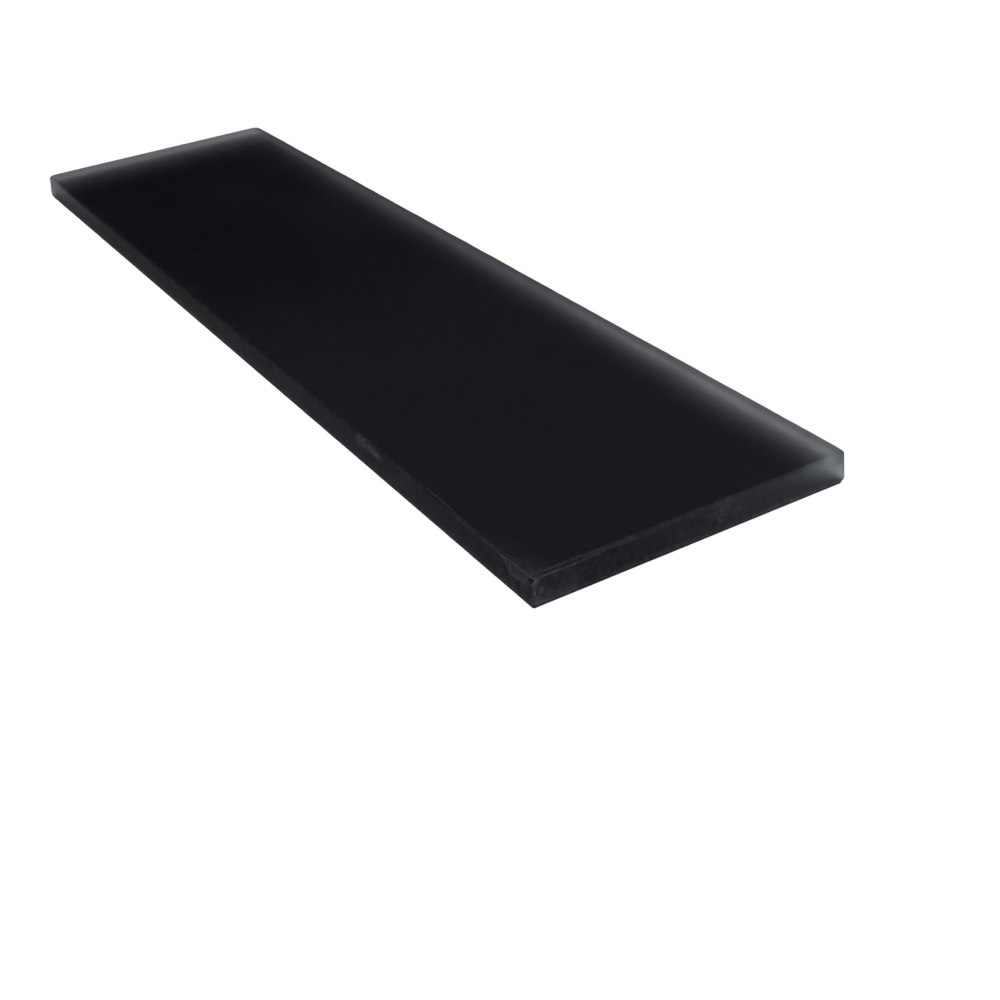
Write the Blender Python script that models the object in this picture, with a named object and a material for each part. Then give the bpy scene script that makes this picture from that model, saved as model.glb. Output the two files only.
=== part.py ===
# Frosted, back-painted black glass plate, 300 x 75 x 7.1 mm.
#
# From the top down: a clear glass plate with a frosted face and edges, a black
# enamel coat on its back, and a matt protective coat over the enamel.
#
# Frame: metres, +Z up, the plate lying on its back. The origin is the centre
# of the underside of the protective coat, +X runs along the length and +Y
# across the width.

import bmesh
import bpy

# ---- overall size, coats included ----
LENGTH = 0.300     # along X
WIDTH = 0.075      # along Y
THICKNESS = 0.0071  # along Z

# ---- coats ----
PROTECT_THICKNESS = 0.00025
ENAMEL_THICKNESS = 0.00015
FILM_GAP = 0.00002        # clearance that keeps neighbouring solids apart
ENAMEL_INSET = 0.00015    # from the glass edge, part way out over the back arris
PROTECT_INSET = 0.0002    # from the glass edge, just inside the enamel

# ---- rounding ----
GLASS_CORNER_RADIUS = 0.0008  # vertical corners, seen from above
COAT_CORNER_RADIUS = 0.0005
CORNER_SEGMENTS = 5
FACE_ARRIS = 0.0006           # eased edge around the frosted face
FACE_ARRIS_SEGMENTS = 4
BACK_ARRIS = 0.0003           # eased edge around the painted back
BACK_ARRIS_SEGMENTS = 2
LEVEL_TOLERANCE = 1e-7        # for finding the edges at one height
SHARP_ANGLE = 0.61            # radians; steeper folds are shaded as sharp edges

# ---- levels along Z, stacked up from the origin ----
PROTECT_BOTTOM = 0.0
PROTECT_TOP = PROTECT_BOTTOM + PROTECT_THICKNESS
ENAMEL_BOTTOM = PROTECT_TOP + FILM_GAP
ENAMEL_TOP = ENAMEL_BOTTOM + ENAMEL_THICKNESS
GLASS_BOTTOM = ENAMEL_TOP + FILM_GAP
GLASS_TOP = THICKNESS


def make_material(name, colour, roughness, transmission=0.0, ior=1.5):
    material = bpy.data.materials.new(name)
    material.use_nodes = True
    inputs = material.node_tree.nodes["Principled BSDF"].inputs
    inputs["Base Color"].default_value = (*colour, 1.0)
    inputs["Roughness"].default_value = roughness
    inputs["Transmission Weight"].default_value = transmission
    inputs["IOR"].default_value = ior
    material.diffuse_color = (*colour, 1.0)
    return material


def round_edges(bm, edges, radius, segments):
    bmesh.ops.bevel(
        bm, geom=edges, offset=radius, offset_type="OFFSET",
        segments=segments, profile=0.5, affect="EDGES", clamp_overlap=True,
    )
    bmesh.ops.recalc_face_normals(bm, faces=bm.faces)


def make_block(name, length, width, bottom, top, corner_radius):
    """Adds a rectangular block with rounded vertical corners, centred on Z."""
    bm = bmesh.new()
    x, y = length / 2, width / 2
    outline = [(-x, -y), (x, -y), (x, y), (-x, y)]
    base = bm.faces.new([bm.verts.new((*corner, bottom)) for corner in outline])
    height = top - bottom
    extruded = bmesh.ops.extrude_face_region(bm, geom=[base])["geom"]
    top_verts = [item for item in extruded if isinstance(item, bmesh.types.BMVert)]
    bmesh.ops.translate(bm, verts=top_verts, vec=(0.0, 0.0, height))

    uprights = [
        edge for edge in bm.edges
        if abs(edge.verts[0].co.z - edge.verts[1].co.z) > 0.5 * height
    ]
    round_edges(bm, uprights, corner_radius, CORNER_SEGMENTS)

    mesh = bpy.data.meshes.new(name)
    bm.to_mesh(mesh)
    bm.free()
    block = bpy.data.objects.new(name, mesh)
    bpy.context.scene.collection.objects.link(block)
    return block


def ease_rim(block, level, radius, segments):
    """Rounds the whole rim of a block at one height."""
    bm = bmesh.new()
    bm.from_mesh(block.data)
    rim = [
        edge for edge in bm.edges
        if all(abs(vert.co.z - level) < LEVEL_TOLERANCE for vert in edge.verts)
    ]
    round_edges(bm, rim, radius, segments)
    bm.to_mesh(block.data)
    bm.free()


def finish(block, material):
    block.data.materials.append(material)
    block.data.shade_smooth()
    block.data.set_sharp_from_angle(angle=SHARP_ANGLE)


def add_glass():
    glass = make_block(
        "glass_plate", LENGTH, WIDTH, GLASS_BOTTOM, GLASS_TOP, GLASS_CORNER_RADIUS
    )
    ease_rim(glass, GLASS_TOP, FACE_ARRIS, FACE_ARRIS_SEGMENTS)
    ease_rim(glass, GLASS_BOTTOM, BACK_ARRIS, BACK_ARRIS_SEGMENTS)
    finish(glass, make_material(
        "frosted_glass", colour=(0.80, 0.86, 0.85), roughness=0.35,
        transmission=1.0, ior=1.52,
    ))


def add_coat(name, inset, bottom, top, material):
    coat = make_block(
        name, LENGTH - 2 * inset, WIDTH - 2 * inset, bottom, top, COAT_CORNER_RADIUS
    )
    finish(coat, material)


for old in list(bpy.data.objects):
    bpy.data.objects.remove(old, do_unlink=True)

add_glass()
add_coat(
    "black_enamel_coat", ENAMEL_INSET, ENAMEL_BOTTOM, ENAMEL_TOP,
    make_material("black_enamel", colour=(0.006, 0.006, 0.008), roughness=0.45),
)
add_coat(
    "protective_back_coat", PROTECT_INSET, PROTECT_BOTTOM, PROTECT_TOP,
    make_material("protective_coat", colour=(0.120, 0.121, 0.124), roughness=0.85),
)
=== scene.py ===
"""Frosted glass plate with a back-painted black enamel and a protective coat.

The plate lies flat and centred on the origin: length along X, width along Y, satin face up (+Z),
painted back down. Front is -Y, rear +Y, right +X, left -X; the camera looks at the front right
corner. The CAD solids give the places and sizes of the three pieces.
"""
import functools
import math
import random

import bmesh
import bpy
import numpy as np
from mathutils import Matrix, Vector, noise


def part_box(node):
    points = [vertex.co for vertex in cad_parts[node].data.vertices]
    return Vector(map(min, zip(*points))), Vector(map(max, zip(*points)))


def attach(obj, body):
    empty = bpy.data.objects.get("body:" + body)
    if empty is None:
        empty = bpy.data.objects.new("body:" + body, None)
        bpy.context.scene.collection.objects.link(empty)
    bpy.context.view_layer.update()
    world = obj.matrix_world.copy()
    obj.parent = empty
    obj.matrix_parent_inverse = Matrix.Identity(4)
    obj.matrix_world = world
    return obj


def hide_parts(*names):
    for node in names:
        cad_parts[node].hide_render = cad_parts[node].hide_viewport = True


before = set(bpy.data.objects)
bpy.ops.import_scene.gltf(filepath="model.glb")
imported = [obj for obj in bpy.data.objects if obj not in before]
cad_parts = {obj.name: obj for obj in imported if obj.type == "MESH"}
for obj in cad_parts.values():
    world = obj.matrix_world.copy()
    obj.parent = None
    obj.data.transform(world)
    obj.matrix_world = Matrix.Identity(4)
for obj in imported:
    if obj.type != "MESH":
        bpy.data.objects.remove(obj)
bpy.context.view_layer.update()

MM = 0.001

scene = bpy.context.scene
scene.view_settings.view_transform = "Standard"
scene.view_settings.look = "None"
scene.view_settings.exposure = 0.0
scene.view_settings.gamma = 1.0

# ---------------------------------------------------------------------------------------------
# Sizes, in metres
# ---------------------------------------------------------------------------------------------
GLASS_LO, GLASS_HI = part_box("glass_plate")
ENAMEL_LO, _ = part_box("black_enamel_coat")
COAT_LO, COAT_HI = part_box("protective_back_coat")

HALF_LENGTH, HALF_WIDTH = GLASS_HI.x, GLASS_HI.y
BACK_Z, FACE_Z = GLASS_LO.z, GLASS_HI.z
PLAN_R = 0.9 * MM                         # upright corners seen in plan

LONG_SIDE = 2 * (HALF_LENGTH - PLAN_R)    # straight parts of the outline
SHORT_SIDE = 2 * (HALF_WIDTH - PLAN_R)
CORNER_ARC = math.pi / 2 * PLAN_R
TOTAL = 2 * LONG_SIDE + 2 * SHORT_SIDE + 4 * CORNER_ARC

# arc lengths of the four corners, anticlockwise from the middle of the front side
FRONT_RIGHT = LONG_SIDE / 2 + CORNER_ARC / 2
REAR_RIGHT = LONG_SIDE / 2 + CORNER_ARC + SHORT_SIDE + CORNER_ARC / 2
REAR_LEFT = LONG_SIDE / 2 + 2 * CORNER_ARC + SHORT_SIDE + LONG_SIDE + CORNER_ARC / 2
FRONT_LEFT = LONG_SIDE / 2 + 3 * CORNER_ARC + 2 * SHORT_SIDE + LONG_SIDE + CORNER_ARC / 2

# rows of the glass section, counted from the face down to the back
ROW_ARRIS_TOP = 3                         # where the face meets the seamed arris
ROW_ARRIS_FOOT = 7                        # where the arris meets the side
SIDE_STEPS = 15
KNEE_STEP = 6                             # the side step that lies on the end of the flake
ROW_KNEE = ROW_ARRIS_FOOT + 1 + KNEE_STEP
ROW_SIDE_FOOT = ROW_ARRIS_FOOT + 1 + SIDE_STEPS


# ---------------------------------------------------------------------------------------------
# Small curves
# ---------------------------------------------------------------------------------------------
def unit(value):
    return min(1.0, max(0.0, value))


def smooth(start, end, value):
    """Smoothstep from 0 at start to 1 at end."""
    t = unit((value - start) / (end - start))
    return t * t * (3 - 2 * t)


def bell(offset, width_mm):
    return math.exp(-((offset / (width_mm * MM)) ** 2))


def noise_at(x, y, z):
    return noise.noise(Vector((x, y, z)))


def wander(arc, base, *layers):
    """base plus smooth noise along the outline. Layers are (amount, wave in mm, seed)."""
    for amount, wave, seed in layers:
        base += amount * noise_at(arc / (wave * MM), seed * 17.31, seed * 3.7)
    return base


# ---------------------------------------------------------------------------------------------
# Outline: a rounded rectangle, walked anticlockwise from the middle of the front side
# ---------------------------------------------------------------------------------------------
STRAIGHT_X, STRAIGHT_Y = HALF_LENGTH - PLAN_R, HALF_WIDTH - PLAN_R

# lines are (length, start, direction, normal); arcs are (length, centre, start angle, None)
LEGS = (
    (LONG_SIDE / 2, (0, -HALF_WIDTH), (1, 0), (0, -1)),
    (CORNER_ARC, (STRAIGHT_X, -HALF_WIDTH + PLAN_R), -90, None),
    (SHORT_SIDE, (HALF_LENGTH, -HALF_WIDTH + PLAN_R), (0, 1), (1, 0)),
    (CORNER_ARC, (STRAIGHT_X, STRAIGHT_Y), 0, None),
    (LONG_SIDE, (STRAIGHT_X, HALF_WIDTH), (-1, 0), (0, 1)),
    (CORNER_ARC, (-HALF_LENGTH + PLAN_R, STRAIGHT_Y), 90, None),
    (SHORT_SIDE, (-HALF_LENGTH, STRAIGHT_Y), (0, -1), (-1, 0)),
    (CORNER_ARC, (-HALF_LENGTH + PLAN_R, -HALF_WIDTH + PLAN_R), 180, None),
    (LONG_SIDE / 2, (-HALF_LENGTH + PLAN_R, -HALF_WIDTH), (1, 0), (0, -1)),
)


def outline(arc):
    """(x, y, outward x, outward y) at this arc length of the full-size outline."""
    arc = arc % TOTAL
    for length, start, heading, normal in LEGS:
        if arc <= length:
            if normal is None:
                angle = math.radians(heading) + arc / PLAN_R
                cos, sin = math.cos(angle), math.sin(angle)
                return start[0] + PLAN_R * cos, start[1] + PLAN_R * sin, cos, sin
            return start[0] + heading[0] * arc, start[1] + heading[1] * arc, *normal
        arc -= length
    # rounding can carry the last leg just past its end, which is the start point
    return 0, -HALF_WIDTH, 0, -1


def inset(x, y, depth):
    """The outline point drawn in. The whole ring shrinks, so it never crosses itself."""
    return x * (1 - depth / HALF_LENGTH), y * (1 - depth / HALF_WIDTH)


# ---------------------------------------------------------------------------------------------
# Chips: balls scooped out of the edges, each (x, y, z, radius) in metres
# ---------------------------------------------------------------------------------------------
# down the front right upright edge: (z, radius, depth) in mm, turn from front (0) to right (1)
CORNER_NIBBLES = (
    (6.1, 0.8, 0.18, 0.70), (5.2, 0.6, 0.15, 0.45), (4.4, 0.9, 0.20, 0.75),
    (3.5, 0.7, 0.15, 0.50), (2.8, 1.0, 0.22, 0.70), (1.9, 0.7, 0.14, 0.35),
    (1.1, 0.6, 0.14, 0.65),
)
# on the right side: (distance from the front, z, radius, depth) in mm, upward lean
RIGHT_SHELLS = (
    (1.3, 5.6, 1.0, 0.13, 0.2), (2.1, 3.6, 1.2, 0.13, 0.0), (1.2, 2.1, 0.9, 0.11, -0.1),
    (2.0, 0.9, 0.9, 0.12, -0.4), (3.9, 6.85, 0.9, 0.10, 0.8), (11.2, 6.85, 0.6, 0.10, 0.9),
    (11.7, 6.35, 0.45, 0.09, 0.5),
)
# along the front side: x in metres, (z, radius, depth) in mm
FRONT_BRUISES = (
    (0.0800, 6.6, 1.5, 0.17), (0.0824, 6.2, 1.3, 0.14), (0.0850, 5.9, 1.1, 0.11),
    (0.0881, 5.5, 0.8, 0.09), (-0.0105, 6.8, 1.2, 0.12), (-0.0080, 6.8, 0.8, 0.09),
    (0.1360, 6.8, 0.7, 0.10), (0.1120, 6.8, 0.7, 0.10),
)
NICK_COUNT = 64
FACE_NICK_SHARE = 0.68                    # the other nicks are on the back edge


def scoop(x, y, z, away, radius, depth):
    """A ball that reaches depth inside the surface at (x, y, z); away points out of the glass."""
    centre = Vector((x, y, z)) + Vector(away).normalized() * (radius - depth)
    return (centre.x, centre.y, centre.z, radius)


def make_chips():
    chips = []
    middle = math.radians(-45)
    edge_x = HALF_LENGTH - PLAN_R + PLAN_R * math.cos(middle)
    edge_y = -HALF_WIDTH + PLAN_R + PLAN_R * math.sin(middle)
    for z, radius, depth, turn in CORNER_NIBBLES:
        angle = math.radians(-90 + 90 * turn)
        away = (math.cos(angle), math.sin(angle), 0.05)
        chips.append(scoop(edge_x, edge_y, z * MM, away, radius * MM, depth * MM))
    for from_front, z, radius, depth, lean in RIGHT_SHELLS:
        y = -HALF_WIDTH + from_front * MM
        chips.append(scoop(HALF_LENGTH, y, z * MM, (1, 0, lean), radius * MM, depth * MM))
    for x, z, radius, depth in FRONT_BRUISES:
        away = (0, -1, 0.6 if z > 6 else 0.2)
        chips.append(scoop(x, -HALF_WIDTH, z * MM, away, radius * MM, depth * MM))
    return chips


def make_nicks():
    """The small nicks every seamed edge has, as (arc length, ball)."""
    rng = random.Random(7)
    nicks = []
    for i in range(NICK_COUNT):
        arc = (i + rng.random()) / NICK_COUNT * TOTAL
        x, y, out_x, out_y = outline(arc)
        radius = rng.uniform(0.28, 0.6) * MM
        depth = radius * rng.uniform(0.10, 0.24)
        if rng.random() < FACE_NICK_SHARE:
            z, lean = FACE_Z - 0.28 * MM, rng.uniform(0.5, 1.3)
        else:
            z, lean = BACK_Z + 0.45 * MM, -0.8
        nicks.append((arc, scoop(x, y, z, (out_x, out_y, lean), radius, depth)))
    return nicks


CHIPS = make_chips()
NICKS = make_nicks()
NICK_BALLS = [ball for _, ball in NICKS]


def make_stations():
    """Arc lengths where the outline is sampled, finer near chips and round the corners."""
    stations = set()
    count = int(TOTAL / (0.42 * MM))
    for i in range(count):
        stations.add(round(i * TOTAL / count, 7))

    def dense(centre, half, step):
        for i in range(int(2 * half / step) + 1):
            stations.add(round((centre - half + i * step) % TOTAL, 7))

    for corner in (FRONT_RIGHT, REAR_RIGHT, REAR_LEFT, FRONT_LEFT):
        dense(corner, half=1.1 * MM, step=0.1 * MM)
    dense(FRONT_RIGHT - 4.0 * MM, half=7.4 * MM, step=0.15 * MM)    # the long flake
    for bruise in FRONT_BRUISES:
        dense(bruise[0] % TOTAL, half=1.0 * MM, step=0.15 * MM)
    # the two small chips further along the right side
    y = -HALF_WIDTH + 11.5 * MM
    small_chips = LONG_SIDE / 2 + CORNER_ARC + (y + HALF_WIDTH - PLAN_R)
    dense(small_chips, half=0.9 * MM, step=0.14 * MM)
    for arc, _ in NICKS:
        dense(arc, half=0.42 * MM, step=0.12 * MM)

    stations = sorted(stations)
    kept = [stations[0]]
    for arc in stations[1:]:
        if arc - kept[-1] > 0.045 * MM:
            kept.append(arc)
    return np.array(kept)


STATIONS = make_stations()
COUNT = len(STATIONS)


# ---------------------------------------------------------------------------------------------
# Section of the glass edge; inward distances are in mm, z in metres
# ---------------------------------------------------------------------------------------------
def flake(arc):
    """The long flake on the front side, beside the front right corner.

    Gives its share (0 to 1), the z where it ends on the side and how far it cuts into the face.
    """
    along = (arc - (FRONT_RIGHT - 10.4 * MM)) / (9.9 * MM)    # 0 at its thin end, 1 at the corner
    if along <= 0 or along >= 1.25:
        return 0.0, 0.0, 0.0
    share = smooth(0.0, 0.10, along) * (1 - smooth(1.0, 1.22, along))
    drop = 0.35 + 2.45 * smooth(0.0, 0.42, along) - 0.65 * smooth(0.5, 1.0, along)
    drop = wander(arc, drop, (0.16, 1.7, 31), (0.08, 0.6, 32))
    cut = wander(arc, 0.10 + 0.50 * smooth(0.0, 0.6, along), (0.10, 1.3, 33))
    return share, FACE_Z - drop * MM, max(0.03, cut)


def face_arris(arc):
    """(inward, downward) size of the face arris. It was seamed by hand, so it wanders."""
    base = wander(arc, 0.50, (0.10, 9, 1), (0.06, 2.1, 2), (0.03, 0.7, 3))
    x, _, out_x, out_y = outline(arc)
    base += 0.26 * max(0.0, out_x) - 0.16 * max(0.0, out_y) - 0.10 * max(0.0, -out_x)
    if out_y < -0.5:
        # the front side is seamed wider towards the right, but for a narrow stretch
        narrow = 0.34 * smooth(0.117, 0.123, x) * (1 - smooth(0.1405, 0.1440, x))
        base += 0.22 * smooth(0.02, 0.11, x) - narrow
    return base, base * wander(arc, 1.05, (0.15, 5, 4))


def back_arris(arc):
    """(inward, upward) size of the eased back edge. Three corners are knocked back further."""
    base = wander(arc, 0.27, (0.06, 7, 5), (0.04, 1.9, 6))
    corners = ((REAR_RIGHT, 0.55), (REAR_LEFT, 1.0), (FRONT_LEFT, 0.6))
    knock = sum(amount * bell(arc - corner, 0.85) for corner, amount in corners)
    return base + 0.38 * knock, base * 1.35 + 0.85 * knock


def back_curve(arc, angle):
    """(inward, z) on the back arris; the angle is 0 at its top and a quarter turn at the back."""
    ease_in, ease_up = back_arris(arc)
    return ease_in * (1 - math.cos(angle)), BACK_Z + ease_up * (1 - math.sin(angle)) * MM


# how far upright corners are rubbed back: (corner, mm at the foot, mm at the face)
WORN_CORNERS = ((REAR_RIGHT, 0.0, 0.17), (REAR_LEFT, 0.05, 0.42), (FRONT_LEFT, -0.14, 0.38))


def worn(arc, z):
    rise = smooth(0.0, 1.0, (z - BACK_Z) / (FACE_Z - BACK_Z))
    depth = 0.0
    for corner, foot, top in WORN_CORNERS:
        depth += (foot + (top - foot) * rise) * bell(arc - corner, 1.6)
    return depth


def paint_top(arc):
    """How high the sprayed enamel laps up the edge above the back of the glass, in mm."""
    return max(0.02, wander(arc, 0.06, (0.05, 6, 8), (0.06, 1.3, 9), (0.03, 0.45, 10)))


def glass_rows(arc):
    """[(inward, z)] from the face down to the back of the glass."""
    seam_in, seam_down = face_arris(arc)
    ease_in, ease_up = back_arris(arc)
    share, end_z, cut = flake(arc)
    cut *= share
    edge_in = seam_in + cut
    rows = [(inward, FACE_Z) for inward in (3.0 + cut, edge_in + 0.35, edge_in + 0.12, edge_in)]
    for t in (0.25, 0.5, 0.75):           # a nearly flat seam, a little crowned
        crown = 0.06 * math.sin(math.pi * t)
        z = FACE_Z - seam_down * t * MM + crown * seam_down * MM
        rows.append((cut + seam_in * (1 - t) - crown * seam_in, z))

    top, bottom = FACE_Z - seam_down * MM, BACK_Z + ease_up * MM
    rows.append((cut, top))
    knee = top + (bottom - top) * KNEE_STEP / SIDE_STEPS
    knee += (min(end_z, top - 0.25 * MM) - knee) * min(1.0, share * 1.6)

    def hollow(z):
        """The flake's depth: from nothing at its end to the full cut under the arris."""
        t = max(0.0, (z - knee) / (top - knee))
        belly = 0.10 * min(1.0, cut) * math.sin(math.pi * t) * share
        return cut * (0.25 * t + 0.75 * t ** 2.2) + belly

    first = 0.12 * MM                     # a close first row holds the arris crisp
    rows.append((hollow(top - first), top - first))
    for i in range(1, SIDE_STEPS):
        if i <= KNEE_STEP:
            z = top - first + (knee - top + first) * i / KNEE_STEP
        else:
            z = knee + (bottom - knee) * (i - KNEE_STEP) / (SIDE_STEPS - KNEE_STEP)
        rows.append((hollow(z), z))
    rows.append((0.0, bottom))
    rows += [back_curve(arc, math.radians(degrees)) for degrees in (22.5, 45, 67.5)]
    rows += [(ease_in, BACK_Z), (ease_in + 0.6, BACK_Z)]
    return rows


ROWS = len(glass_rows(0.0))


def glass_grid():
    """Points of the unchipped glass, by station and row."""
    grid = np.zeros((COUNT, ROWS, 3))
    for i, arc in enumerate(STATIONS):
        x, y, _, _ = outline(arc)
        # the ground edge is never quite straight
        wobble = 0.010 * wander(arc, 0.5, (0.5, 11, 12))
        for j, (inward, z) in enumerate(glass_rows(arc)):
            depth = (inward + worn(arc, z)) * MM
            if ROW_ARRIS_FOOT <= j <= ROW_SIDE_FOOT:
                ripple = noise_at(arc / (2.3 * MM), z / (3.1 * MM), 5.5)
                depth += (wobble + 0.006 * (0.5 + 0.5 * ripple)) * MM
            grid[i, j] = inset(x, y, depth) + (z,)
    return grid


# ---------------------------------------------------------------------------------------------
# Wear and light painted on the edge: pale lines are bruised, whitened glass with painted highlight
# on them; dark lines are painted shade where creases and grooves would be shaded.
# ---------------------------------------------------------------------------------------------
# upright marks on the front side, pale ones whitened glass with painted highlight and dark ones
# painted shade: (x, half width) in mm, strength (dark if negative), (lowest z, highest z) in mm
MARKS = (
    (142.55, 0.14, 2.8, 2.7, 5.9), (143.0, 0.16, 1.6, 0.6, 3.2), (146.4, 0.24, 1.5, 0.6, 4.9),
    (147.6, 0.22, 1.3, 0.6, 5.4), (148.8, 0.25, 0.6, 1.0, 5.4), (145.7, 0.25, -0.14, 0.8, 4.2),
    (144.7, 0.18, -0.10, 0.8, 4.0), (142.0, 0.22, -0.16, 2.6, 6.0), (138.4, 0.20, 0.7, 1.2, 3.6),
    (128.0, 0.25, 0.6, 0.8, 5.0), (111.5, 0.2, 0.6, 1.4, 4.6), (93.0, 0.25, 0.6, 0.8, 3.6),
)


def mark_rows(arc, whitening_and_highlight, shade_line):
    """Lines that run along the arrises, the flake's end and the foot of the side."""
    x, _, out_x, out_y = outline(arc)
    front, right, rear = max(0.0, -out_y), max(0.0, out_x), max(0.0, out_y)
    near = front + right
    share = flake(arc)[0]
    from_corner = arc - FRONT_RIGHT
    to_corner = math.exp(-abs(from_corner) / (26 * MM))
    at_corner = math.exp(-abs(from_corner) / (8 * MM))
    line = unit(wander(arc, 0.5, (0.5, 3.1, 41), (0.3, 0.9, 42)))
    strength = near * unit(0.10 + 0.35 * line + 0.45 * right * line + 1.0 * to_corner * line)
    # a double line on the first 11 mm of the right side
    double = smooth(FRONT_RIGHT + 1.0 * MM, FRONT_RIGHT + 3.0 * MM, arc)
    double *= 1 - smooth(FRONT_RIGHT + 10.6 * MM, FRONT_RIGHT + 11.6 * MM, arc)
    # before the flake the seam is worn to two bright lines with painted highlight, and a painted
    # shade line between
    flake_start = smooth(0.1405, 0.1425, x)
    lower = front * smooth(0.118, 0.124, x) * wander(arc, 2.8, (1.2, 1.4, 45))
    lower *= 1 - 0.6 * flake_start
    upper = front * smooth(0.109, 0.113, x) * (1 - flake_start)
    upper *= wander(arc, 0.85, (0.3, 1.1, 46))

    foot_line = (strength * 0.9 + 0.5 * double * line) * (1 + (1.1 - 0.7 * right) * at_corner)
    foot_line += max(0.0, lower)
    whitening_and_highlight[ROW_ARRIS_FOOT] = foot_line * (1 - 0.25 * min(1.0, share * 1.5))
    top_line = 0.5 * strength * smooth(-0.2, 0.4, out_x)
    whitening_and_highlight[ROW_ARRIS_TOP] = top_line + 0.45 * double * line + 2.0 * upper
    # the arris faces are paler: worn glass with painted highlight, most on the right side and near
    # the corner
    scuff_and_highlight = near * (0.16 + 0.30 * right + 0.45 * at_corner * (1 - right)) * (0.5 + 0.5 * line)
    whitening_and_highlight[ROW_ARRIS_TOP + 1 : ROW_ARRIS_FOOT] = scuff_and_highlight
    whitening_and_highlight[ROW_KNEE] = share * (0.7 + 0.5 * line) * 2.0
    back_line = unit(wander(arc, 0.35, (0.5, 0.8, 43), (0.3, 7, 44)))
    whitening_and_highlight[ROW_SIDE_FOOT] = near * back_line * (1 + 1.2 * at_corner)

    shade_line[ROW_ARRIS_TOP] = front * 0.45 * (1 - min(1.0, upper))
    shade_line[ROW_ARRIS_FOOT - 2] = 0.6 * max(double, min(1.0, upper))
    under_seam = 0.25 * min(1.0, max(0.0, lower)) * (1 - min(1.0, share * 2))
    shade_line[ROW_ARRIS_FOOT + 1] = under_seam
    # painted shade: a dark rim on the rear side, which is fainter next to the rear right corner
    rim = rear * (0.34 + 0.30 * smooth(-0.05, 0.03, x))
    rim = max(rim, 0.4 * bell(arc - REAR_RIGHT, 0.5))
    rim *= 1 - 0.5 * bell(arc - REAR_RIGHT, 1.2)
    band = shade_line[ROW_ARRIS_TOP - 1 : ROW_ARRIS_FOOT + 2]
    band[:] = np.maximum(band, rim)


def mark_uprights(arc, heights, whitening_and_highlight, shade_line):
    """Lines that run up the corners and up the front side."""
    x, _, _, out_y = outline(arc)
    # painted shade: a dark line up the rear right corner
    rear_line = 0.8 * bell(arc - REAR_RIGHT, 0.30)
    for j in range(ROW_ARRIS_FOOT + 1, ROW_SIDE_FOOT + 1):
        z = heights[j]
        # the front right edge: a painted shade line that fades downwards, and bruised, whitened
        # glass with painted highlight beside it
        shift = 0.35 * MM * noise_at(z / (1.1 * MM), 8.8, 1.2)
        painted_line_shade = bell(arc - FRONT_RIGHT + 0.22 * MM - shift, 0.34)
        fade = smooth(1.6 * MM, 3.4 * MM, z) * (0.72 + 0.28 * noise_at(z / (0.8 * MM), 2.2, 7.7))
        shade_line[j] = max(shade_line[j], 0.85 * painted_line_shade * fade, rear_line)
        shift = 0.30 * MM * noise_at(z / (0.9 * MM), 4.4, 6.1)
        bruise = bell(arc - FRONT_RIGHT - 0.55 * MM - shift, 0.24)
        bruise *= 1.35 + 1.1 * noise_at(z / (0.7 * MM), 9.1, 3.3)
        bruise *= 0.65 + 0.35 * smooth(1.5 * MM, 3.5 * MM, z)
        whitening_and_highlight[j] = max(whitening_and_highlight[j], bruise)
        if out_y >= -0.9:
            continue
        for mark_x, half, amount, low, high in MARKS:
            across = bell(x - mark_x * MM, half)
            up = smooth(low - 0.3, low + 0.3, z / MM) * (1 - smooth(high - 0.4, high + 0.3, z / MM))
            field = whitening_and_highlight if amount > 0 else shade_line
            field[j] = max(field[j], abs(amount) * across * up)


def scoop_chips(grid):
    """Push every point that lies in a ball out to the ball's surface."""
    flat = grid.reshape(-1, 3).copy()
    for *centre, radius in CHIPS + NICK_BALLS:
        delta = flat - np.array(centre)
        distance = np.linalg.norm(delta, axis=1)
        hit = distance < radius
        if hit.any():
            outward = delta[hit] / np.maximum(distance[hit], 1e-9)[:, None]
            flat[hit] = np.array(centre) + outward * radius
    lowest = (-HALF_LENGTH, -HALF_WIDTH, BACK_Z)
    highest = (HALF_LENGTH, HALF_WIDTH, FACE_Z)
    return np.clip(flat, lowest, highest).reshape(grid.shape)


def whiten_chips(grid, whitening_and_highlight, far_side):
    """Whitened crescents at the rims of the balls, with painted highlight on them. Gives the pale
    lines and the dust round chips.
    """
    dust = np.zeros((COUNT, ROWS))
    for *centre, radius in CHIPS:
        gap = np.linalg.norm(grid - np.array(centre), axis=2) - radius
        dust = np.maximum(dust, np.clip(1 - np.maximum(gap, 0) / (0.7 * MM), 0, 1) ** 2)
        whitening_and_highlight = np.maximum(whitening_and_highlight, 0.8 * np.exp(-((gap / (0.11 * MM)) ** 2)))
    for *centre, radius in NICK_BALLS:
        gap = np.linalg.norm(grid - np.array(centre), axis=2) - radius
        rim = 0.45 * np.exp(-((gap / (0.09 * MM)) ** 2)) * (1 - far_side)
        whitening_and_highlight = np.maximum(whitening_and_highlight, rim)
    return whitening_and_highlight, dust


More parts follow.
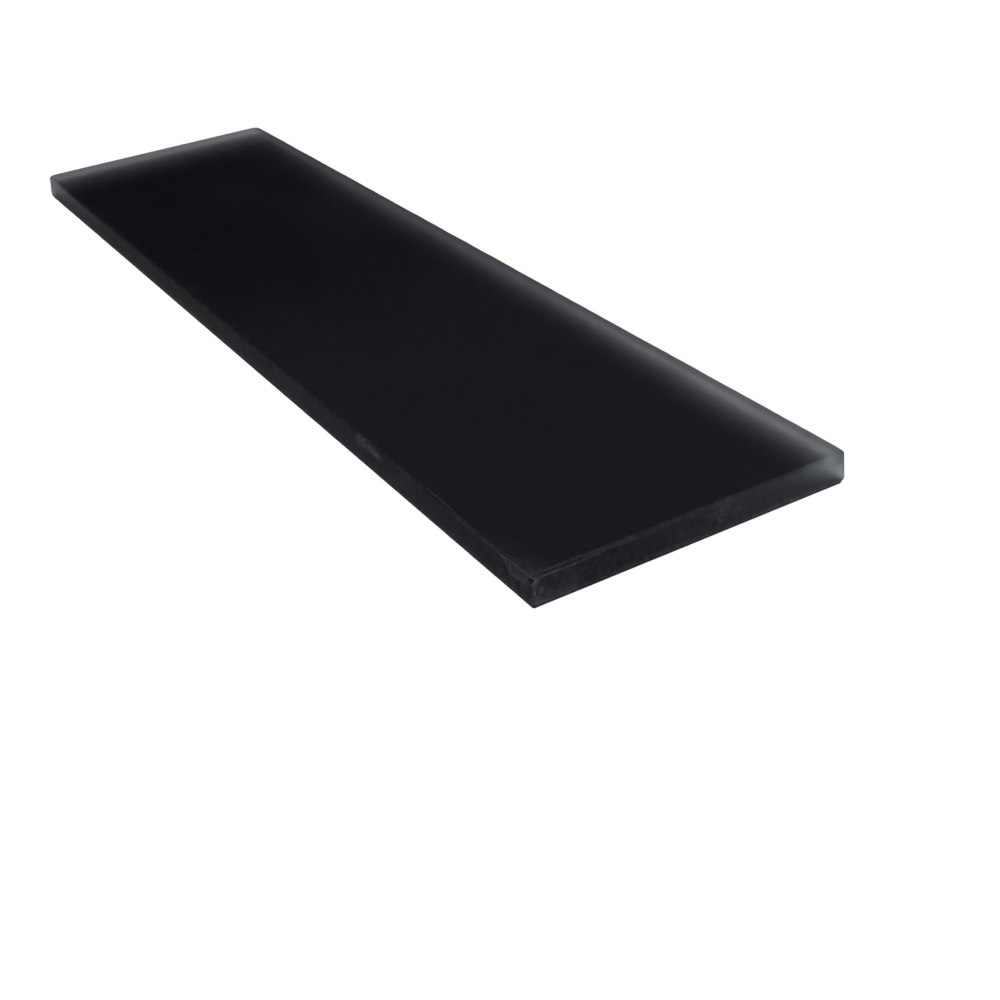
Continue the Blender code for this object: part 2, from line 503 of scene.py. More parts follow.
# ---------------------------------------------------------------------------------------------
# Shader helpers
# ---------------------------------------------------------------------------------------------
class Value:
    """An output socket. Arithmetic on it adds Math nodes."""

    def __init__(self, nodes, socket):
        self.nodes = nodes
        self.socket = socket

    def __add__(self, other):
        return self.nodes.math("ADD", self, other)

    def __mul__(self, other):
        return self.nodes.math("MULTIPLY", self, other)

    def __rmul__(self, other):
        return self.nodes.math("MULTIPLY", other, self)

    def __rsub__(self, other):
        return self.nodes.math("SUBTRACT", other, self)

    def __abs__(self):
        return self.nodes.math("ABSOLUTE", self, 0.0)

    def max(self, other):
        return self.nodes.math("MAXIMUM", self, other)

    def ramp(self, lo, hi, to=(0.0, 1.0), linear=False):
        """Map lo..hi to the range `to`, clamped at both ends."""
        return self.nodes.add(
            "MapRange",
            {"Value": self, "From Min": lo, "From Max": hi, "To Min": to[0], "To Max": to[1]},
            output="Result",
            interpolation_type="LINEAR" if linear else "SMOOTHSTEP",
        )

    def rise(self, lo, hi, linear=False):
        return self.ramp(lo, hi, linear=linear)

    def fall(self, lo, hi, linear=False):
        return self.ramp(lo, hi, to=(1.0, 0.0), linear=linear)


class Nodes:
    """Short helper for building a node tree."""

    def __init__(self, tree):
        self.tree = tree

    def plug(self, socket, value):
        if isinstance(value, Value):
            self.tree.links.new(value.socket, socket)
        else:
            socket.default_value = value

    def add(self, kind, inputs=None, output=0, **settings):
        node = self.tree.nodes.new("ShaderNode" + kind)
        for name, setting in settings.items():
            setattr(node, name, setting)
        for key, value in (inputs or {}).items():
            self.plug(node.inputs[key], value)
        return Value(self, node.outputs[output])

    @functools.cached_property
    def coord(self):
        return self.add("TexCoord", output="Object")

    def math(self, operation, first, second, **settings):
        return self.add("Math", {0: first, 1: second}, operation=operation, **settings)

    def vector(self, operation, inputs, output=0):
        return self.add("VectorMath", inputs, output, operation=operation)

    def scaled(self, scale):
        return self.add("Mapping", {"Vector": self.coord, "Scale": scale})

    def noise(self, scale, detail=3, rough=0.5, stretch=(1, 1, 1), distortion=0.0):
        inputs = {"Vector": self.scaled(stretch), "Scale": scale, "Detail": detail}
        inputs |= {"Roughness": rough, "Distortion": distortion}
        return self.add("TexNoise", inputs, output="Fac")

    def mix(self, factor, first, second, blend="MIX"):
        colours = [c if isinstance(c, Value) else (*c, 1.0) for c in (first, second)]
        inputs = {0: factor, 6: colours[0], 7: colours[1]}
        return self.add("Mix", inputs, output=2, data_type="RGBA", blend_type=blend)

    def multiply(self, first, second):
        return self.mix(1.0, first, second, blend="MULTIPLY")

    def spot(self, centre, size, inner=0.0):
        """1 at the centre, 0 outside the ellipsoid of this half size, soft between."""
        offset = self.vector("SUBTRACT", {0: self.coord, 1: centre})
        share = self.vector("DIVIDE", {0: offset, 1: size})
        return self.vector("LENGTH", {0: share}, output="Value").fall(inner, 1.0)

    def bump(self, height, strength, distance, normal=None):
        inputs = {"Strength": strength, "Distance": distance, "Height": height}
        if normal is not None:
            inputs["Normal"] = normal
        return self.add("Bump", inputs)

    def xyz(self, vector=None):
        split = self.add("SeparateXYZ", {0: vector or self.coord}).socket.node
        return [Value(self, output) for output in split.outputs]

    def attribute(self, name):
        return self.add("Attribute", output="Fac", attribute_name=name)

    def tinted_sum(self, prefix, rows):
        """The colour of several lights added up. Rows are (name, mask, amount, tint)."""
        total = None
        for name, mask, amount, tint in rows:
            part = self.math("MULTIPLY", mask, amount)
            part.socket.node.name = prefix + name
            colour = self.vector("SCALE", {0: tint, "Scale": part})
            total = colour if total is None else self.vector("ADD", {0: total, 1: colour})
        return total

    def camera_switch(self, lighting, seen):
        """One shader for what lights the plate, another for what the camera sees."""
        to_camera = self.add("LightPath", output="Is Camera Ray")
        return self.add("MixShader", {0: to_camera, 1: lighting, 2: seen})


class Material(Nodes):
    def __init__(self, name):
        self.data = bpy.data.materials.new(name)
        self.data.use_nodes = True
        super().__init__(self.data.node_tree)

    def principled(self, inputs):
        for key, value in inputs.items():
            self.plug(self.tree.nodes["Principled BSDF"].inputs[key], value)
        return self.data


# ---------------------------------------------------------------------------------------------
# Materials
# ---------------------------------------------------------------------------------------------
WHITE, BLACK = (1, 1, 1), (0, 0, 0)
SHADE_LINE_TINT = (0.18, 0.18, 0.19)          # glass colour under a painted shade line
GLASS_TINT = (0.87, 0.91, 0.95)
IOR = 1.42
FACE_ROUGHNESS = 0.615
# painted shade: share of the light passed by the rear and left edges, at the foot and higher up
WALL_LOW, WALL_HIGH = 1.0, 0.22
BLOOM = 0.030                             # share of light that crushed glass scatters back


def satin_face():
    """Acid-etched: cloudy at hand scale, a fine even grain, faint wipe marks, a few pits."""
    mat = Material("satin_glass_face")
    cloud = mat.noise(scale=26, rough=0.55)
    wipe = mat.noise(scale=60, detail=2, stretch=(0.35, 1.6, 1), distortion=1.2)
    grain = mat.noise(scale=5200, detail=2, rough=0.6)

    cells = {"Vector": mat.scaled((1, 1, 1)), "Scale": 210}
    pits = mat.add("TexVoronoi", cells, output="Distance").fall(0.035, 0.075)
    pits = pits * mat.noise(scale=70, detail=1).rise(0.52, 0.60)
    pits = pits * mat.xyz()[0].ramp(-0.03, 0.05, to=(0.5, 0.12))

    rough = cloud.ramp(0.3, 0.7, to=(-0.02, 0.02)) + wipe.ramp(0.35, 0.65, to=(-0.012, 0.012))
    rough = rough + grain * 0.03
    # etched a little finer at the left end
    rough = rough + mat.xyz()[0].ramp(-0.14, -0.04, to=(-0.08, 0.0))

    # rubbed paler round the front right corner
    rubbed = mat.spot(centre=(0.1490, -0.0365, 0.0071), size=(0.0062, 0.0062, 0.004)) * 0.030
    wider = mat.spot(centre=(0.1450, -0.0365, 0.0071), size=(0.0150, 0.0058, 0.004))
    rubbed = rubbed + wider * 0.022
    rubbed = rubbed * mat.noise(scale=650, rough=0.65).ramp(0.36, 0.62, to=(0.45, 1.25))
    # and smudged in loose patches along the front side
    x, y, _ = mat.xyz()
    smudge = mat.noise(scale=230, detail=4, rough=0.7).rise(0.48, 0.66)
    smudge = smudge * mat.noise(scale=45, detail=2).rise(0.42, 0.58)
    smudge = smudge * y.fall(-0.031, -0.010)
    smudge = smudge * (x.rise(-0.13, -0.10) * x.ramp(-0.01, 0.03, to=(1.0, 0.12)))
    haze = rubbed + smudge * 0.016

    paler = tuple(0.985 * channel for channel in GLASS_TINT)
    return mat.principled({
        "Base Color": mat.mix(cloud.rise(0.3, 0.7), paler, GLASS_TINT),
        "Roughness": rough + FACE_ROUGHNESS,
        "Transmission Weight": 1.0 - (haze + pits * 0.10),
        "IOR": IOR,
        "Normal": mat.bump(grain, strength=0.12, distance=0.00002),
    })


def ground_edge():
    """Rougher, with upright grinding lines, whitened bruises with painted highlight, and painted
    shade in dark lines and on the upper rear and left edges.
    """
    mat = Material("ground_glass_edge")
    x, y, z = mat.xyz()
    belt = mat.noise(scale=1500, rough=0.6, stretch=(1, 1, 0.06))
    broad = mat.noise(scale=330, detail=2, stretch=(1, 1, 0.12))
    patch = mat.noise(scale=120, rough=0.6)
    fleck = mat.noise(scale=1900, detail=2, rough=0.7)
    grit = mat.noise(scale=2600, rough=0.65)
    line_shaded = mat.attribute("shade_line")
    on_right = x.rise(0.1490, 0.1496)

    # soil is the pale, scattering dirt: a dirty foot, a wash up the side, smears and scratches;
    # below, it also carries the painted highlight of the pale lines
    low = z.fall(0.0006, 0.0022)
    low_noise = mat.noise(scale=1100, rough=0.7, stretch=(1, 1, 0.6))
    low = low * low_noise.ramp(0.40, 0.62, to=(0.25, 1.0))
    wash = z.fall(0.0004, 0.0064, linear=True)
    smear = patch.rise(0.50, 0.66) * broad.ramp(0.35, 0.65, to=(0.5, 1.0))
    scratch_noise = mat.noise(scale=700, detail=2, rough=0.6, stretch=(1, 1, 0.05))
    scratches = scratch_noise.rise(0.42, 0.66)
    soil_and_highlight = low * 2.2 + smear * 0.22 + scratches * 0.30 + wash * 0.45

    # splashes along the foot: left half of the front side, and under the right side's smear
    right_smear = x.rise(0.1490, 0.1496) * y.fall(-0.0282, -0.0272)
    foot = z.ramp(0.0006, 0.0032, to=(3.0, 0.0), linear=True)
    where = x.ramp(-0.02, 0.06, to=(1.0, 0.25)) * y.fall(-0.0374, -0.0370)
    where = where + right_smear * 0.8
    foot_noise = mat.noise(scale=420, rough=0.6, stretch=(1, 1, 0.3))
    where = where * foot_noise.ramp(0.35, 0.62, to=(0.35, 1.25))
    soil_and_highlight = soil_and_highlight + foot * where

    # a paler smear over the first 10 mm of the right side, and two on the front side
    soil_and_highlight = soil_and_highlight + right_smear * patch.ramp(0.35, 0.65, to=(0.55, 0.95))
    left_smear = mat.spot(centre=(-0.0300, -0.0375, 0.0010), size=(0.0160, 0.004, 0.0032))
    soil_and_highlight = soil_and_highlight + left_smear * fleck.ramp(0.35, 0.65, to=(0.5, 1.1))
    bruise_smear = mat.spot(
        centre=(0.0812, -0.0375, 0.0056), size=(0.0046, 0.004, 0.0017), inner=0.15
    ).max(mat.spot(centre=(0.0872, -0.0375, 0.0056), size=(0.0050, 0.004, 0.0015), inner=0.1))
    bruise_noise = mat.noise(scale=1000, rough=0.7)
    soil_and_highlight = soil_and_highlight + bruise_smear * bruise_noise.ramp(0.36, 0.62, to=(0.9, 6.0))

    soil_and_highlight = soil_and_highlight + mat.attribute("dust") * fleck.ramp(0.40, 0.62, to=(0.1, 0.9))
    # pale lines: whitened glass with painted highlight on it
    soil_and_highlight = soil_and_highlight + mat.attribute("whitening_and_highlight") * grit.ramp(0.36, 0.56, to=(1.0, 3.6))

    # pale specks in loose groups on the right side
    speck = mat.noise(scale=1050, detail=2, rough=0.6).ramp(0.55, 0.66, to=(0.0, 2.6))
    speck = speck * mat.noise(scale=170, detail=2, rough=0.6).rise(0.50, 0.62)
    speck = speck * (on_right * y.rise(-0.026, -0.018))
    cluster = mat.spot(centre=(0.1500, 0.0075, 0.0040), size=(0.004, 0.0046, 0.0030), inner=0.4)
    cluster_noise = mat.noise(scale=1150, detail=2, rough=0.6)
    cluster = cluster * cluster_noise.ramp(0.50, 0.62, to=(0.0, 2.8))
    soil_and_highlight = soil_and_highlight + speck.max(cluster)

    # dried wash water in small patches on the front and right sides
    near = (1.0 - mat.attribute("far_side")) * y.fall(0.010, 0.024)
    fine = near * x.ramp(0.1490, 0.1496, to=(0.4, 0.62))
    blotch = mat.noise(scale=640, rough=0.74).ramp(0.47, 0.64, to=(0.0, 1.7)) * fine
    blotch = blotch + near * (smear * 0.5)
    soil_and_highlight = (soil_and_highlight + blotch) * (1.0 - line_shaded)

    tint = mat.mix(belt.rise(0.3, 0.7), (0.81, 0.85, 0.895), (0.89, 0.92, 0.96))
    # painted shade: the upper half of the rear and left edges is darkened and passes less light,
    # lifted again at the arris
    painted_wall_shade = z.ramp(0.0008, 0.0043, to=(WALL_LOW, WALL_HIGH), linear=True)
    painted_wall_shade = painted_wall_shade + z.ramp(0.0062, 0.0067, to=(0.0, 0.30))
    shade_and_mottle = mat.mix(mat.attribute("far_side"), WHITE, mat.mix(painted_wall_shade, BLACK, WHITE))
    shade_and_mottle = mat.multiply(shade_and_mottle, mat.mix(line_shaded, WHITE, SHADE_LINE_TINT))
    mottle = mat.noise(scale=560, detail=4, rough=0.7).fall(0.38, 0.60) * (fine * 0.7 + 0.3)
    mottle = mat.mix(mottle, WHITE, (0.64, 0.65, 0.66))
    shade_and_mottle = mat.multiply(shade_and_mottle, mat.mix(mat.attribute("far_side"), mottle, WHITE))

    fine_lines = mat.bump(belt, strength=0.25, distance=0.00003)
    return mat.principled({
        "Base Color": mat.multiply(tint, shade_and_mottle),
        "Roughness": broad.ramp(0.3, 0.7, to=(0.74, 0.84)) + belt * 0.04,
        "Transmission Weight": (1.0 - BLOOM * 0.35) - soil_and_highlight * BLOOM,
        "IOR": IOR,
        "Normal": mat.bump(broad, strength=0.18, distance=0.00006, normal=fine_lines),
    })


def chipped_glass():
    """Fresh glass inside a chip: shinier, rippled, with bright bruised flecks, painted highlight on
    pale lines and painted shade in dark ones.
    """
    mat = Material("chipped_glass")
    ripple = mat.noise(scale=900, detail=2, rough=0.55)
    fleck = mat.noise(scale=2600, detail=2, rough=0.7)
    tint = mat.mix(ripple.rise(0.3, 0.7), (0.86, 0.92, 0.93), (0.93, 0.96, 0.97))
    bruise = fleck.ramp(0.40, 0.65, to=(0.7, 1.6)) + mat.attribute("whitening_and_highlight") * 3.6
    bruise = bruise * (1.0 - mat.attribute("shade_line"))
    painted_line_shade = mat.mix(mat.attribute("shade_line"), WHITE, SHADE_LINE_TINT)
    return mat.principled({
        "Base Color": mat.multiply(tint, painted_line_shade),
        "Roughness": ripple.ramp(0.3, 0.7, to=(0.30, 0.50)),
        "Transmission Weight": 0.985 - bruise * 0.035,
        "IOR": IOR,
        "Normal": mat.bump(ripple, strength=0.5, distance=0.00008),
    })


def bonded_enamel():
    """The enamel seen through the glass: black, no surface of its own, with painted light."""
    mat = Material("enamel_bonded_to_glass")
    x, y, _ = mat.xyz()
    cloud = mat.noise(scale=14, rough=0.55)
    spray = mat.noise(scale=900, detail=2, rough=0.6)
    # painted light: paler towards the right and the rear, a little darker again at the right end
    drift = x.ramp(-0.034, 0.038, to=(0.0, 0.93)) + y.ramp(-0.012, 0.024, to=(0.0, 0.42))
    drift = drift + x.ramp(0.048, 0.108, to=(0.0, -0.28))
    drift = drift + cloud.ramp(0.3, 0.7, to=(-0.16, 0.16))
    # painted light: two paler patches on the left half of the face
    pale_patch = mat.spot(centre=(-0.1000, 0.0040, 0.0005), size=(0.0240, 0.0170, 0.0050))
    drift = drift + pale_patch * 0.70
    pale_patch = mat.spot(centre=(-0.0580, 0.0230, 0.0005), size=(0.0340, 0.0150, 0.0050))
    drift = drift + pale_patch * 0.75
    light_and_spray = mat.math("ADD", drift * 0.9, spray * 0.12, use_clamp=True)
    return mat.principled({
        "Base Color": mat.mix(light_and_spray, (0.0050, 0.0050, 0.0080), (0.0270, 0.0254, 0.0372)),
        "Roughness": 1.0,
        "Specular IOR Level": 0.0,
    })


def enamel_surface():
    """The enamel's outer skin where it laps the edge, with grey grinding dust on its rim."""
    mat = Material("black_enamel_skin")
    x, y, _ = mat.xyz()
    peel = mat.noise(scale=850, detail=2)
    orange = mat.noise(scale=2600, detail=2, rough=0.6)
    black = mat.mix(peel.rise(0.3, 0.7), (0.0060, 0.0056, 0.0075), (0.0100, 0.0093, 0.0120))
    end_rim = abs(x).rise(HALF_LENGTH - 0.0012, HALF_LENGTH - 0.0005)
    rim = end_rim.max(abs(y).rise(HALF_WIDTH - 0.0012, HALF_WIDTH - 0.0005))
    rim = rim * mat.noise(scale=700, rough=0.7).ramp(0.30, 0.60, to=(0.45, 1.0))
    fine_peel = mat.bump(orange, strength=0.2, distance=0.00001)
    return mat.principled({
        "Base Color": mat.mix(rim, black, (0.120, 0.122, 0.130)),
        "Roughness": orange.ramp(0.3, 0.7, to=(0.42, 0.60)),
        "Specular IOR Level": 0.35,
        "Normal": mat.bump(peel, strength=0.35, distance=0.00004, normal=fine_peel),
    })


def coat_surface():
    """Matt charcoal, gritty so that adhesive keys to it."""
    mat = Material("protective_coat_matt")
    grit = mat.noise(scale=1700, rough=0.65)
    drift = mat.noise(scale=45, rough=0.6).rise(0.3, 0.7)
    return mat.principled({
        "Base Color": mat.mix(drift, (0.130, 0.131, 0.136), (0.185, 0.186, 0.192)),
        "Roughness": grit.ramp(0.3, 0.7, to=(0.82, 0.97)),
        "Specular IOR Level": 0.3,
        "Normal": mat.bump(grit, strength=0.5, distance=0.00008),
    })


# ---------------------------------------------------------------------------------------------
# Mesh helpers
# ---------------------------------------------------------------------------------------------
def add_object(name, data):
    obj = bpy.data.objects.new(name, data)
    scene.collection.objects.link(obj)
    return obj


def build(name, verts, faces, materials, sharp_degrees, slots=None):
    """A smooth-shaded closed mesh with outward normals. Slots give each face's material."""
    mesh = bpy.data.meshes.new(name)
    mesh.from_pydata(verts, [], faces)
    for material in materials:
        mesh.materials.append(material)
    mesh.polygons.foreach_set("material_index", slots or [0] * len(faces))
    mesh.polygons.foreach_set("use_smooth", [True] * len(faces))
    mesh.update()
    shape = bmesh.new()
    shape.from_mesh(mesh)
    bmesh.ops.recalc_face_normals(shape, faces=shape.faces)
    if shape.calc_volume(signed=True) < 0:
        bmesh.ops.reverse_faces(shape, faces=shape.faces)
    shape.to_mesh(mesh)
    shape.free()
    obj = add_object(name, mesh)
    mesh.set_sharp_from_angle(angle=math.radians(sharp_degrees))
    return obj


def ring_faces(rings, rows, along_first=False):
    """Quads round a closed loop of columns, then a cap on the first row and on the last."""
    faces = []
    for i in range(rings):
        here, there = i * rows, (i + 1) % rings * rows
        for j in range(rows - 1):
            quad = (here + j, here + j + 1, there + j + 1, there + j)
            faces.append((quad[0], *quad[:0:-1]) if along_first else quad)
    faces.append(tuple(i * rows for i in range(rings)))
    faces.append(tuple(i * rows + rows - 1 for i in range(rings - 1, -1, -1)))
    return faces


def register(obj, cad_name):
    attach(obj, "root")
    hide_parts(cad_name)


# ---------------------------------------------------------------------------------------------
# The glass
# ---------------------------------------------------------------------------------------------
SATIN, GROUND, CHIPPED, BONDED = range(4)    # material slots


def glass_slots(points, moved):
    """The material slot of each face, in the order of ring_faces."""
    slots = []
    for i in range(COUNT):
        after = (i + 1) % COUNT
        lip = BACK_Z + paint_top(STATIONS[i]) * MM
        for j in range(ROWS - 1):
            total = moved[i, j] + moved[i, j + 1] + moved[after, j] + moved[after, j + 1]
            if 0.5 * (points[i, j, 2] + points[i, j + 1, 2]) < lip:
                slots.append(BONDED)
            elif 0.25 * total > 0.02 * MM:
                slots.append(CHIPPED)
            elif j < ROW_ARRIS_TOP:
                slots.append(SATIN)
            else:
                slots.append(GROUND)
    return slots + [SATIN, BONDED]        # the two caps


def make_glass():
    grid = glass_grid()
    far_side = np.zeros((COUNT, ROWS))    # 1 on the rear side, less on the left, else 0; it masks the painted wall shade
    whitening_and_highlight = np.zeros((COUNT, ROWS))
    shade_line = np.zeros((COUNT, ROWS))
    for i, arc in enumerate(STATIONS):
        _, _, out_x, out_y = outline(arc)
        far_side[i] = unit(max(out_y, -0.30 * out_x))
        mark_rows(arc, whitening_and_highlight[i], shade_line[i])
        mark_uprights(arc, grid[i, :, 2], whitening_and_highlight[i], shade_line[i])
    points = scoop_chips(grid)
    whitening_and_highlight, dust = whiten_chips(grid, whitening_and_highlight, far_side)

    moved = np.linalg.norm(points - grid, axis=2)
    for i, arc in enumerate(STATIONS):
        if flake(arc)[0] > 0.15:          # the flake's own hollow counts as chipped glass
            moved[i, ROW_ARRIS_FOOT:ROW_KNEE] = 0.03 * MM

    glass = build(
        "glass_plate_satin",
        [tuple(point) for point in points.reshape(-1, 3)],
        ring_faces(COUNT, ROWS),
        [satin_face(), ground_edge(), chipped_glass(), bonded_enamel()],
        sharp_degrees=60,
        slots=glass_slots(points, moved),
    )
    fields = {"dust": dust, "far_side": far_side, "whitening_and_highlight": whitening_and_highlight, "shade_line": shade_line}
    for name, values in fields.items():
        attribute = glass.data.attributes.new(name, "FLOAT", "POINT")
        attribute.data.foreach_set("value", values.reshape(-1).astype(np.float32))
    register(glass, "glass_plate")


# ---------------------------------------------------------------------------------------------
# The enamel: a skin under the back that laps up the back arris to a wandering line
# ---------------------------------------------------------------------------------------------
SKIN_REACH = 2.6                          # how far in from the outline its rows go, in mm
SKIN_GAP = 0.004                          # keeps it clear of the glass, in mm
LAP_STEPS = 4


def skin_column(arc):
    """[(inward mm, z)] out under the glass, up the arris and back along the outside."""
    ease_in, ease_up = back_arris(arc)
    ratio = min(0.98, max(0.05, paint_top(arc) / ease_up))
    lap_end = 1 - math.degrees(math.asin(1 - ratio)) / 90
    inner, outer = [], []
    for i in range(LAP_STEPS + 1):
        angle = math.radians(90 * (1 - lap_end * i / LAP_STEPS))
        inward, z = back_curve(arc, angle)
        inner.append((inward - SKIN_GAP, z - SKIN_GAP * MM))
        thick = wander(arc, 0.012 + 0.045 * (1 - i / LAP_STEPS), (0.006, 0.9, 21))
        outer.append((
            max(0.012, inward - thick * math.cos(angle) - SKIN_GAP),
            z - thick * math.sin(angle) * MM - SKIN_GAP * MM,
        ))
    top, bottom = BACK_Z - 0.006 * MM, ENAMEL_LO.z + SKIN_GAP * MM
    return [
        (SKIN_REACH, top), (ease_in + 0.1, top),
        *inner, *reversed(outer),
        (ease_in + 0.25, bottom), (SKIN_REACH, bottom),
    ]


def make_enamel():
    arcs = STATIONS[::2]
    verts = []
    for arc in arcs:
        x, y, _, _ = outline(arc)
        for inward, z in skin_column(arc):
            verts.append(inset(x, y, inward * MM) + (max(z, ENAMEL_LO.z),))
    faces = ring_faces(len(arcs), len(verts) // len(arcs), along_first=True)
    enamel = build("black_enamel_skin", verts, faces, [enamel_surface()], sharp_degrees=50)
    register(enamel, "black_enamel_coat")


# ---------------------------------------------------------------------------------------------
# The protective coat: rolled on, so its rim is soft and its underside is orange-peeled
# ---------------------------------------------------------------------------------------------
COAT_X, COAT_Y = COAT_HI.x, COAT_HI.y
COAT_R = 1.5 * MM                         # plan radius of its corners
COAT_FRONT_RIGHT_R = 0.45 * MM
COAT_PULL = 0.00007                       # most that the rim is pulled in
RIM_LINES = (0.0, 0.10, 0.25, 0.45, 0.70, 1.05, 1.50)    # grid lines in from the rim, in mm


def spread(half, count):
    """Grid lines across the coat: even in the middle, close together near the rim."""
    rim = [half - inward * MM for inward in RIM_LINES]
    middle = np.linspace(-rim[-1], rim[-1], count)
    return np.array([-line for line in rim[:-1]] + list(middle) + rim[:-1][::-1])


def coat_edge(x, y):
    """The corners are rounded, and the rolled rim is pulled in a little, unevenly."""
    radius = COAT_FRONT_RIGHT_R if x > 0 and y < 0 else COAT_R
    over_x = (abs(x) - (COAT_X - radius)) / radius
    over_y = (abs(y) - (COAT_Y - radius)) / radius
    if over_x > 0 and over_y > 0:
        round_x = over_x * math.sqrt(1 - over_y * over_y / 2)
        round_y = over_y * math.sqrt(1 - over_x * over_x / 2)
        x = math.copysign(COAT_X - radius + round_x * radius, x)
        y = math.copysign(COAT_Y - radius + round_y * radius, y)
    pull_x = COAT_PULL * (0.5 + 0.5 * noise_at(y * 300, 3.3, 1.1))
    pull_y = COAT_PULL * (0.5 + 0.5 * noise_at(x * 300, 7.7, 2.2))
    return (
        x - math.copysign(pull_x, x) * smooth(0.985, 1.0, abs(x / COAT_X)),
        y - math.copysign(pull_y, y) * smooth(0.94, 1.0, abs(y / COAT_Y)),
    )


def make_coat():
    lines_x, lines_y = spread(COAT_X, 239), spread(COAT_Y, 55)
    last_x, last_y = len(lines_x) - 1, len(lines_y) - 1
    under, over = [], []
    for x in lines_x:
        for y in lines_y:
            place = coat_edge(x, y)
            rim = 1 - smooth(0.0, 0.5 * MM, min(COAT_X - abs(x), COAT_Y - abs(y)))
            peel = 0.5 + 0.5 * noise_at(x * 420, y * 420, 0.0)
            fine = 0.5 + 0.5 * noise_at(x * 900, y * 900, 4.0)
            lift = (0.018 * peel + 0.010 * fine) * MM
            under.append((*place, COAT_LO.z + lift + 0.035 * MM * rim))
            over.append((*place, COAT_HI.z - 0.02 * MM * rim))

    def at(layer, i, j):
        """Vertex number; layer 0 is the underside, layer 1 the top."""
        return layer * len(under) + i * (last_y + 1) + j

    faces = []
    for i in range(last_x):
        for j in range(last_y):
            faces.append((at(0, i, j), at(0, i, j + 1), at(0, i + 1, j + 1), at(0, i + 1, j)))
            faces.append((at(1, i, j), at(1, i + 1, j), at(1, i + 1, j + 1), at(1, i, j + 1)))

    def wall(start, end):
        faces.append((at(0, *start), at(0, *end), at(1, *end), at(1, *start)))

    for i in range(last_x):
        wall((i, 0), (i + 1, 0))
        wall((i + 1, last_y), (i, last_y))
    for j in range(last_y):
        wall((0, j + 1), (0, j))
        wall((last_x, j), (last_x, j + 1))
    coat = build("protective_coat_rolled", under + over, faces, [coat_surface()], sharp_degrees=40)
    register(coat, "protective_back_coat")


# ---------------------------------------------------------------------------------------------
# Studio: a sweep and a world that are plain white to the camera. What they throw on the glass
# is brighter at the rear of the plate than at its front.
# ---------------------------------------------------------------------------------------------
FLOOR_HALF = 6.0
FLOOR_Z = -0.00008


def floor_material():
    mat = Material("studio_floor")
    mat.tree.nodes.remove(mat.tree.nodes["Principled BSDF"])
    x, y, _ = mat.xyz(mat.add("NewGeometry", output="Position"))
    behind = y.rise(-0.01, 0.06)

    def hat(lo, peak, hi):
        """Rises from lo to peak along X and falls to hi; None keeps that side at full height."""
        up = 1.0 if lo is None else x.rise(lo, peak, linear=True)
        down = 1.0 if hi is None else x.fall(peak, hi, linear=True)
        return behind * (up * down)

    # parts of the sweep: (name, mask, amount of light, tint)
    zones = (
        ("everywhere", 1.0, 0.248, (1.02, 0.974, 1.005)),
        ("behind_a", hat(None, -0.14, -0.06), 0.055, (1.12, 0.96, 0.92)),
        ("behind_b", hat(-0.14, -0.06, 0.02), 0.055, (1.10, 1.00, 0.90)),
        ("behind_c", hat(-0.06, 0.02, 0.10), 0.072, (1.0, 1.0, 1.0)),
        ("behind_d", hat(0.02, 0.10, 0.18), 0.345, (1.05, 1.01, 0.94)),
        ("behind_e", hat(0.10, 0.18, None), 0.490, (0.93, 1.04, 1.03)),
        ("beyond", x.fall(-0.19, -0.14), 0.010, (1.0, 1.0, 1.0)),
    )
    glow = mat.tinted_sum("zone_", zones)
    lighting = mat.add("Emission", {"Strength": 1.0, "Color": glow})
    seen = mat.add("Emission", {"Strength": 1.0})
    surface = mat.tree.nodes["Material Output"].inputs["Surface"]
    mat.plug(surface, mat.camera_switch(lighting, seen))
    return mat.data


def make_floor():
    mesh = bpy.data.meshes.new("studio_floor")
    corners = [(-1, -1), (1, -1), (1, 1), (-1, 1)]
    verts = [(x * FLOOR_HALF, y * FLOOR_HALF, FLOOR_Z) for x, y in corners]
    mesh.from_pydata(verts, [], [(0, 1, 2, 3)])
    add_object("studio_floor", mesh)
    mesh.materials.append(floor_material())


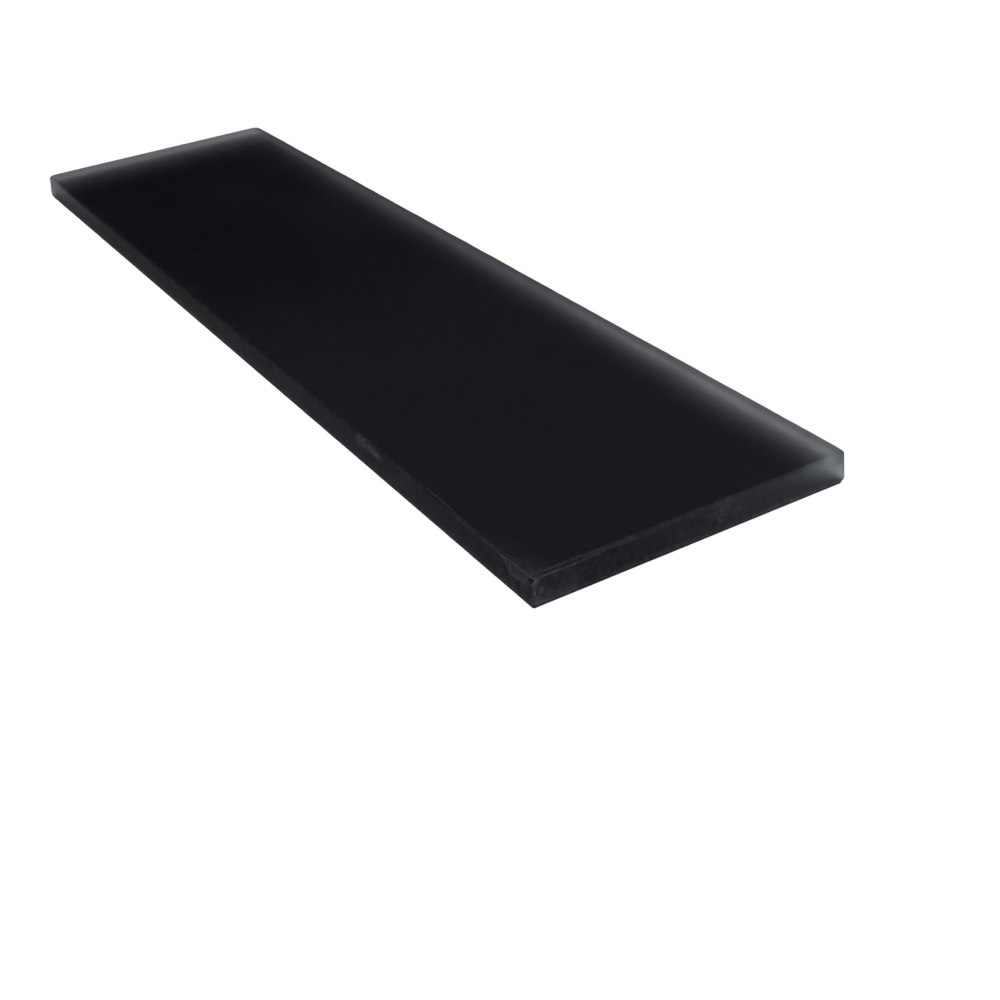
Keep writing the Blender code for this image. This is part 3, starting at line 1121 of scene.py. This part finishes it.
def make_world():
    world = bpy.data.worlds.new("studio")
    scene.world = world
    world.use_nodes = True
    world.node_tree.nodes.clear()
    sky = Nodes(world.node_tree)
    x, y, z = sky.xyz(sky.add("TexCoord", output="Generated"))
    low = z.fall(0.35, 0.85)
    # parts of the sky: (name, mask, amount of light, tint)
    parts = (
        ("front", (y * -1.0).rise(0.0, 0.9) * low, 0.074, (0.89, 1.03, 1.08)),
        ("beside", x.rise(0.0, 0.9) * low, 0.260, (0.70, 1.08, 1.20)),
        ("all", 1.0, 0.047, (0.94, 0.86, 1.20)),
    )
    glow = sky.tinted_sum("sky_", parts)
    lighting = sky.add("Background", {"Strength": 1.0, "Color": glow})
    seen = sky.add("Background", {"Color": (1, 1, 1, 1)})
    output = world.node_tree.nodes.new("ShaderNodeOutputWorld")
    sky.plug(output.inputs["Surface"], sky.camera_switch(lighting, seen))


def softbox(name, x, watts, colour):
    """A softbox above the plate that points straight down and is hidden from the camera."""
    light = bpy.data.lights.new(name, "AREA")
    light.shape = "RECTANGLE"
    light.size, light.size_y = 0.22, 0.15
    light.energy = watts
    light.color = colour
    obj = add_object(name, light)
    obj.location = (x, -0.015, 0.30)
    obj.rotation_euler = Vector((0, 0, -0.30)).to_track_quat("-Z", "Y").to_euler()
    obj.visible_camera = False


def make_camera():
    data = bpy.data.cameras.new("camera")
    data.sensor_width = 36
    data.lens = 55.3643
    data.clip_start = 0.01
    camera = add_object("camera", data)
    right = Vector((0.51354154, 0.85472752, -0.07560388))
    down = Vector((0.40137302, -0.31715878, -0.85924968))
    ahead = Vector((-0.75840278, 0.41091505, -0.50593878))
    pose = Matrix((right, -down, -ahead)).transposed().to_4x4()
    pose.translation = Vector((0.35183339, -0.15169143, 0.15985878))
    camera.matrix_world = pose
    scene.camera = camera


make_glass()
make_enamel()
make_coat()
make_floor()
make_world()
softbox("overhead_softbox", x=0.12, watts=0.215, colour=(1.0, 0.88, 0.89))
softbox("middle_softbox", x=0.04, watts=0.010, colour=(0.60, 0.95, 1.00))
make_camera()

bpy.context.view_layer.update()
